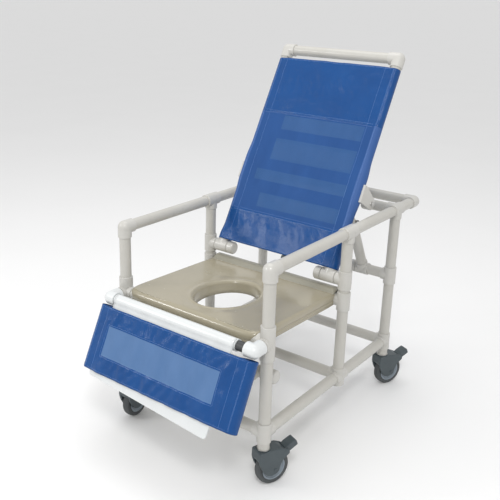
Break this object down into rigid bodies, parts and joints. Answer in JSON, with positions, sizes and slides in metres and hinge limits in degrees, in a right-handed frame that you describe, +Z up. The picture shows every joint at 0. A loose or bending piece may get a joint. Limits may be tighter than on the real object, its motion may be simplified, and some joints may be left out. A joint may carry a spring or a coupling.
{
  "type": "patient recliner chair",
  "caption": "Wheeled reclining shower and commode chair: pipe frame, sling back on telescoping struts, moulded open seat, swinging calf rest and locking casters.",
  "frame": {"origin": "on the floor under the middle of the bounding box", "axes": "+Z up, -Y is the way the sitter faces, +X the sitter's left"},
  "size_m": [0.7936, 1.3075, 1.4172],
  "materials": {
    "frame_pvc": "semi-gloss ivory pipe",
    "bright_pvc": "gloss white moulding",
    "pivot_tube": "satin dark grey",
    "seat_shell": "gloss khaki moulding",
    "mesh_fabric": "blue vinyl and open mesh",
    "strap_webbing": "woven black",
    "steel": "plated",
    "caster_plastic": "charcoal",
    "wheel_hub": "light grey",
    "tyre": "dark grey tread"
  },
  "bodies": {
    "frame": {"posts": "frame_pvc", "arm_rails": "frame_pvc", "lower_rails": "frame_pvc", "push_rail": "frame_pvc", "seat_rails": "frame_pvc", "short_pipes": "frame_pvc", "stub_caps": "frame_pvc", "arm_elbows": "frame_pvc", "arm_tees": "frame_pvc", "lower_tees": "frame_pvc", "post_tees": "frame_pvc", "leg_hinge_tees": "bright_pvc", "leg_hinge_elbows": "bright_pvc", "leg_pivot_tube": "pivot_tube", "seat": "seat_shell", "caster_stems": "steel"},
    "backrest": {"back_side_tubes": "frame_pvc", "head_rail": "frame_pvc", "head_elbows": "frame_pvc", "back_pivot_tees": "frame_pvc", "back_cross_tube": "frame_pvc", "back_cross_tees": "frame_pvc", "back_sling": "mesh_fabric", "back_straps": "strap_webbing", "strap_buckle": "strap_webbing", "belt_ears": "bright_pvc", "ear_bolts": "steel"},
    "strut_lower": {"strut_tees": "frame_pvc", "strut_tubes": "frame_pvc", "strut_collars": "frame_pvc", "strut_knobs": "caster_plastic"},
    "strut_upper": {"strut_rods": "frame_pvc", "strut_knuckles": "frame_pvc"},
    "calf_rest": {"leg_pivot_sleeve": "bright_pvc", "leg_side_tubes": "frame_pvc", "leg_cross_rails": "frame_pvc", "leg_saddles": "frame_pvc", "leg_tube_caps": "frame_pvc", "leg_sling": "mesh_fabric", "leg_board": "bright_pvc", "board_screws": "steel", "leg_arms": "frame_pvc", "counter_bar": "frame_pvc", "counter_bar_caps": "frame_pvc"},
    "caster_front_left": {"caster_hood_front_left": "caster_plastic"},
    "wheel_front_left": {"caster_wheel_front_left": "wheel_hub", "caster_tyre_front_left": "tyre"},
    "pedal_front_left": {"caster_pedal_front_left": "caster_plastic"},
    "caster_front_right": {"caster_hood_front_right": "caster_plastic"},
    "wheel_front_right": {"caster_wheel_front_right": "wheel_hub", "caster_tyre_front_right": "tyre"},
    "pedal_front_right": {"caster_pedal_front_right": "caster_plastic"},
    "caster_rear_left": {"caster_hood_rear_left": "caster_plastic"},
    "wheel_rear_left": {"caster_wheel_rear_left": "wheel_hub", "caster_tyre_rear_left": "tyre"},
    "pedal_rear_left": {"caster_pedal_rear_left": "caster_plastic"},
    "caster_rear_right": {"caster_hood_rear_right": "caster_plastic"},
    "wheel_rear_right": {"caster_wheel_rear_right": "wheel_hub", "caster_tyre_rear_right": "tyre"},
    "pedal_rear_right": {"caster_pedal_rear_right": "caster_plastic"}
  },
  "joints": [
    {"name": "back_recline", "type": "hinge", "parent": "frame", "child": "backrest", "pos_m": [0, 0.0757, 0.615], "axis": [-1, 0, 0], "range_deg": [-13, 27]},
    {"name": "strut_lean", "type": "hinge", "parent": "frame", "child": "strut_lower", "pos_m": [0, 0.4657, 0.516], "axis": [-1, 0, 0], "range_deg": [-8, 14]},
    {"name": "strut_head_turn", "type": "hinge", "parent": "backrest", "child": "strut_upper", "pos_m": [0, 0.24538, 0.92112], "axis": [-1, 0, 0], "range_deg": [-20, 20]},
    {"name": "calf_rest_swing", "type": "hinge", "parent": "frame", "child": "calf_rest", "pos_m": [0, -0.4943, 0.548], "axis": [-1, 0, 0], "range_deg": [-24, 60]},
    {"name": "swivel_front_left", "type": "hinge", "parent": "frame", "child": "caster_front_left", "pos_m": [0.326, -0.4193, 0.145], "axis": [0, 0, 1], "continuous": true},
    {"name": "roll_front_left", "type": "hinge", "parent": "caster_front_left", "child": "wheel_front_left", "pos_m": [0.33949, -0.38593, 0.0635], "axis": [-0.9272, 0.3746, 0], "continuous": true},
    {"name": "brake_front_left", "type": "hinge", "parent": "caster_front_left", "child": "pedal_front_left", "pos_m": [0.35897, -0.33771, 0.1195], "axis": [-0.9272, 0.3746, 0], "range_deg": [0, 24]},
    {"name": "swivel_front_right", "type": "hinge", "parent": "frame", "child": "caster_front_right", "pos_m": [-0.326, -0.4193, 0.145], "axis": [0, 0, 1], "continuous": true},
    {"name": "roll_front_right", "type": "hinge", "parent": "caster_front_right", "child": "wheel_front_right", "pos_m": [-0.32914, -0.38344, 0.0635], "axis": [-0.9962, -0.0872, 0], "continuous": true},
    {"name": "brake_front_right", "type": "hinge", "parent": "caster_front_right", "child": "pedal_front_right", "pos_m": [-0.33367, -0.33164, 0.1195], "axis": [-0.9962, -0.0872, 0], "range_deg": [0, 24]},
    {"name": "swivel_rear_left", "type": "hinge", "parent": "frame", "child": "caster_rear_left", "pos_m": [0.326, 0.4657, 0.145], "axis": [0, 0, 1], "continuous": true},
    {"name": "roll_rear_left", "type": "hinge", "parent": "caster_rear_left", "child": "wheel_rear_left", "pos_m": [0.34064, 0.49858, 0.0635], "axis": [-0.9135, 0.4067, 0], "continuous": true},
    {"name": "brake_rear_left", "type": "hinge", "parent": "caster_rear_left", "child": "pedal_rear_left", "pos_m": [0.36179, 0.54609, 0.1195], "axis": [-0.9135, 0.4067, 0], "range_deg": [0, 24]},
    {"name": "swivel_rear_right", "type": "hinge", "parent": "frame", "child": "caster_rear_right", "pos_m": [-0.326, 0.4657, 0.145], "axis": [0, 0, 1], "continuous": true},
    {"name": "roll_rear_right", "type": "hinge", "parent": "caster_rear_right", "child": "wheel_rear_right", "pos_m": [-0.34064, 0.49858, 0.0635], "axis": [-0.9135, -0.4067, 0], "continuous": true},
    {"name": "brake_rear_right", "type": "hinge", "parent": "caster_rear_right", "child": "pedal_rear_right", "pos_m": [-0.36179, 0.54609, 0.1195], "axis": [-0.9135, -0.4067, 0], "range_deg": [0, 24]}
  ],
  "couplings": [
    {"joint": "strut_lean", "follows": "back_recline", "ratio": 0.3871},
    {"joint": "strut_head_turn", "follows": "back_recline", "ratio": -0.6129}
  ]
}
